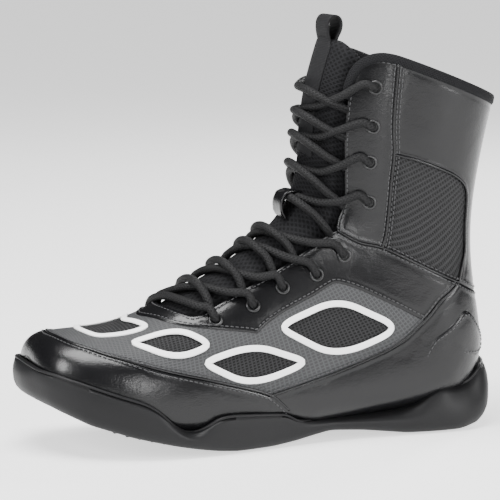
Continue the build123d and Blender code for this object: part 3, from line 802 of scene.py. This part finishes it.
# ------------------------------------------------------------------ the sole
# The underside and the wavy top of the wall, as (x, z), and the outline seen from above:
# x, sideways centre, half width at the ground.
TREAD = [(-148, 35), (-134, 28), (-111, 19.5), (-99, 16), (-88, 12.5), (-64, 7), (-50, 4.2), (-37, 2),
         (-24, .6), (0, .6), (14, 2), (37, 6), (58, 4.5), (85, 1), (104, .6), (122, .6), (135, 2.5),
         (142, 7), (148, 15)]
WALL_TOP = [(-150, 52), (-138, 51), (-126, 48.3), (-115, 44.7), (-99, 39), (-81, 33), (-73, 28),
            (-65, 20), (-57, 15), (-50, 14.5), (-44, 17.5), (-38, 22), (-30, 23), (-14, 22), (6, 20),
            (13, 15.5), (22, 14), (40, 14), (62, 14.5), (80, 15.5), (92, 18.5), (100, 24), (108, 28),
            (120, 27), (132, 28.5), (142, 36), (150, 39)]
OUTLINE = [(-140, 9, 0), (-139.1, 9, 10.5), (-135.5, 9, 21), (-128, 8, 33.5), (-115, 5, 43.5),
           (-96, 1.5, 49), (-72, -2, 51.5), (-48, -3, 51), (-20, -4, 46), (10, -4, 39), (40, -3, 35.5),
           (72, -1.5, 37), (100, 0, 39), (122, 0, 37), (138, 0, 29), (146, 0, 17), (150, 0, 0)]


def at(table, x):
    return np.interp(x, [p[0] for p in table], [p[1] for p in table])


rows, columns = 240, 220
us = np.linspace(0.2, 13.5, rows)
vs = np.linspace(-1, 1, columns + 1)
surface_u, surface_v = np.repeat(us, columns + 1), np.tile(vs, rows)
surface = boot(surface_u, surface_v)
skin_tree = BVHTree.FromPolygons(surface.tolist(), grid_faces(rows, columns + 1))
faces = grid_faces(rows, columns + 1)


def surface_place(point, direction):
    """Where a ray meets the boot: the (u, v) there, or None."""
    hit, normal, index, distance = skin_tree.ray_cast(Vector(point), Vector(direction))
    if hit is None:
        return None
    corner = faces[index]
    p = surface[list(corner)]
    e1, e2 = p[3] - p[0], p[1] - p[0]
    a = np.linalg.lstsq(np.column_stack([e1, e2]), np.array(hit) - p[0], rcond=None)[0]
    u0, v0 = surface_u[corner[0]], surface_v[corner[0]]
    du, dv = surface_u[corner[3]] - u0, surface_v[corner[1]] - v0
    return u0 + np.clip(a[0], 0, 1) * du, v0 + np.clip(a[1], 0, 1) * dv


# The outline as a smooth ring: the lateral side from toe to heel, then back on the medial side.
half = np.array(OUTLINE, float)
ring = np.vstack([np.column_stack([half[:, 0], half[:, 1] - half[:, 2]]),
                  np.column_stack([half[:, 0], half[:, 1] + half[:, 2]])[-2:0:-1]])
ring = smooth_line(ring / SCALE, closed=True, step=1.0) * SCALE
ring = resample(ring, 2.2)
tangent = np.roll(ring, -1, 0) - np.roll(ring, 1, 0)
outward = np.column_stack([-tangent[:, 1], tangent[:, 0]])
outward /= -np.linalg.norm(outward, axis=1)[:, None]
middle_y = np.interp(ring[:, 0], half[:, 0], half[:, 1])
if ((ring[:, 1] - middle_y) * outward[:, 1]).sum() < 0:
    outward = -outward
low_z, high_z = at(TREAD, ring[:, 0]), at(WALL_TOP, ring[:, 0])
for _ in range(2):
    high_z = (np.roll(high_z, 1) + 2 * high_z + np.roll(high_z, -1)) / 4
    low_z = (np.roll(low_z, 1) + 2 * low_z + np.roll(low_z, -1)) / 4
lip, contact = [], []
for (x, y), n, z in zip(ring, outward, high_z):
    start = np.array([x, y]) + n * 25
    place = surface_place((start[0], start[1], z - 1.0), (-n[0], -n[1], 0))
    if place is None:
        place = surface_place((x, y, z), (-x * 0.2, -y, 0))
    contact.append(place)
    meet = boot(*place)[0][:2]
    inner_gap = np.dot(np.array([x, y]) - meet, n)
    waist = np.clip((x + 20) / 25, 0, 1) * np.clip((100 - x) / 15, 0, 1)
    lip.append(min(inner_gap, SOLE_LIP + WAIST_LIP * waist))
contact = np.array(contact)
lip_point = np.array([boot(u, v)[0][:2] for u, v in contact]) + outward * np.array(lip)[:, None]
for _ in range(3):
    lip_point = (np.roll(lip_point, 1, 0) + 2 * lip_point + np.roll(lip_point, -1, 0)) / 4
height = high_z - low_z
rounding = np.minimum(6.0 + 4.0 * np.clip((-ring[:, 0] - 110) / 22, 0, 1), 0.45 * height)
tuck = np.maximum(rounding / 6.0, 1.0)[:, None]
levels = []
low_round = ((-14.0, 0.0), (-7.0, 0.0), (-4.2, 0.02), (-2.4, 0.18), (-1.0, 0.45), (-0.2, 0.8), (0.0, 1.1))
for inset, z_share in low_round:
    levels.append(np.column_stack([ring + outward * inset * tuck, low_z + rounding * z_share]))
start_z = low_z + rounding * 1.1
for share, bulge in ((0.25, 0.5), (0.5, 0.8), (0.75, 0.7), (0.92, 0.25)):
    flat_point = ring * (1 - share ** 1.6) + lip_point * share ** 1.6 + outward * bulge
    levels.append(np.column_stack([flat_point, start_z + (high_z - start_z) * share]))
for out, down in ((0.35, 1.5), (0.75, 1.1), (0.75, 0.4), (0.2, 0.0), (-0.9, 0.0)):
    levels.append(np.column_stack([lip_point + outward * out, high_z - down]))
side_sign = np.where(contact[:, 1] < 0, -1, 1)
for share in (0.0, 0.08, 0.25, 0.5, 0.75, 1.0):
    v = contact[:, 1] * (1 - share) + side_sign * share
    levels.append(on_boot(contact[:, 0], v, -0.9))
batch = Batch()
count = len(ring)
points = np.vstack(levels)
sole_faces = grid_faces(len(levels), count, wrap_columns=True)
half_count = count // 2
for first, order in ((0, 1), ((len(levels) - 1) * count, -1)):
    pairs = [(i, (count - i) % count) for i in range(half_count + 1)]
    for (a, b), (c, d) in zip(pairs, pairs[1:]):
        quad = list(dict.fromkeys([a, c, d, b]))
        if len(quad) > 2:
            sole_faces.append([first + i for i in quad][::order])
batch.add(points, sole_faces, points[:, :2])
# Raised bars across the tread, forefoot and heel.
for x in list(np.arange(-96, 8, 7.0)) + list(np.arange(88, 132, 7.0)):
    centre = np.interp(x, half[:, 0], half[:, 1])
    width = np.interp(x, half[:, 0], half[:, 2]) - 9
    z = at(TREAD, x)
    ys = np.linspace(-width, width, 15)
    line = np.column_stack([x + 2.2 * np.abs(((ys / 9) % 2) - 1), centre + ys, np.full(15, z + 0.35)])
    sides, ups = frames(line, np.tile((0.0, 0.0, 1.0), (15, 1)))
    sweep(batch, line, sides, ups, bar(3.4, 1.9, corner=0.3))
piece(batch, "sole", "boot", "sole_rubber", ["outsole"])

# ------------------------------------------------------------------ the insole
SOCKLINER_TOP = [(-137, 45), (-124, 38), (-104, 29.5), (-80, 21), (-52, 16), (-16, 16), (22, 19.5),
                 (64, 22), (112, 22.5), (126, 24), (134, 28)]
batch = Batch()
grid_points = boot(surface_u, surface_v, -4.9)
hollow = BVHTree.FromPolygons(grid_points.tolist(), faces)
rows, columns = 60, 17
top_rows, low_rows = [], []
for x in np.linspace(-121, 130, rows):
    z, centre = float(at(SOCKLINER_TOP, x)), float(np.interp(x, half[:, 0], half[:, 1]))
    ends_y = []
    for sign in (-1, 1):
        hit = hollow.ray_cast(Vector((x, centre, z)), Vector((0, sign, 0)))[0]
        ends_y.append(hit[1] - sign * 0.6 if hit else centre + sign * 3)
    ys = np.linspace(*ends_y, columns)
    dish = 1.6 * (np.linspace(-1, 1, columns) ** 2)
    for y, d in zip(ys, dish):
        hit = hollow.ray_cast(Vector((x, y, z + 0.5)), Vector((0, 0, -1)))[0]
        floor_z = max(hit[2] + 0.3, z - 5.5) if hit else z - 3
        top_rows.append((x, y, z + d))
        low_rows.append((x, y, min(floor_z, z - 1.2)))
top_rows, low_rows = np.array(top_rows), np.array(low_rows)
closed_sheet(batch, top_rows, low_rows, rows, columns, top_rows[:, :2])
piece(batch, "sockliner", "boot", "sockliner_textile", ["sockliner"])

batch = Batch()
board = [(1.3, -1), (2, -.87), (4, -.81), (7, -.80), (10.2, -.82), (11, -.9), (11.2, -1), (11, -1.1),
         (10.2, -1.18), (7, -1.2), (4, -1.19), (2, -1.13)]
panel(batch, [smooth_line(board, closed=True)], -1.2, 1.8, spacing=4.0, groove=0, depth=0)
piece(batch, "insole_board_plate", "boot", "board_fibre", ["insole_board"])

for name, slot in (("heel_wedge", "midsole_foam"), ("shank", "shank_steel")):
    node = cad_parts[name]
    node.data.materials.clear()
    node.data.materials.append(FINISH[slot])

# ------------------------------------------------------------------ floor, light and camera
bpy.ops.mesh.primitive_plane_add(size=60, location=(0, 0, 0))
floor = bpy.context.object
floor.name = "floor"
paper = material("floor", (0.62, 0.62, 0.62), 0.9, grain=0.001, shine=0.1)
paper.node_tree.nodes["Principled BSDF"].inputs["Emission Color"].default_value = (1, 1, 1, 1)
paper.node_tree.nodes["Principled BSDF"].inputs["Emission Strength"].default_value = 1.2
floor.data.materials.append(paper)


def softbox(name, place, target, size, power):
    data = bpy.data.lights.new(name, "AREA")
    data.shape = "RECTANGLE"
    data.size, data.size_y = size
    data.energy = power
    lamp = bpy.data.objects.new(name, data)
    bpy.context.scene.collection.objects.link(lamp)
    lamp.location = place
    lamp.rotation_euler = (Vector(target) - Vector(place)).to_track_quat("-Z", "Y").to_euler()


softbox("top_light", (-0.3, -0.1, 1.5), (0, 0, 0.1), (0.9, 0.9), 52)
softbox("toe_light", (-1.5, -0.5, 0.9), (-0.05, 0, 0.08), (0.3, 0.9), 32)
softbox("side_light", (1.1, -1.15, 0.62), (0.05, 0, 0.12), (0.3, 0.9), 26)
softbox("front_light", (-0.1, -1.9, 0.62), (0.05, 0, 0.12), (0.16, 0.9), 16)
softbox("back_light", (1.2, 1.0, 1.0), (0, 0, 0.1), (0.4, 0.9), 26)
world = bpy.data.worlds.new("studio")
world.use_nodes = True
world.node_tree.nodes["Background"].inputs["Color"].default_value = (1, 1, 1, 1)
world.node_tree.nodes["Background"].inputs["Strength"].default_value = 0.04
bpy.context.scene.world = world

azimuth, elevation, reach = math.radians(-20), math.radians(8), 1.5
aim = Vector((-0.0006, 0.0, 0.1093))
camera = bpy.data.objects.new("camera", bpy.data.cameras.new("camera"))
bpy.context.scene.collection.objects.link(camera)
back = Vector((math.sin(azimuth) * math.cos(elevation), -math.cos(azimuth) * math.cos(elevation),
               math.sin(elevation)))
camera.location = aim + back * reach
camera.rotation_euler = back.to_track_quat("Z", "Y").to_euler()
camera.data.sensor_width = 36.0
camera.data.lens = 184.7
bpy.context.scene.camera = camera
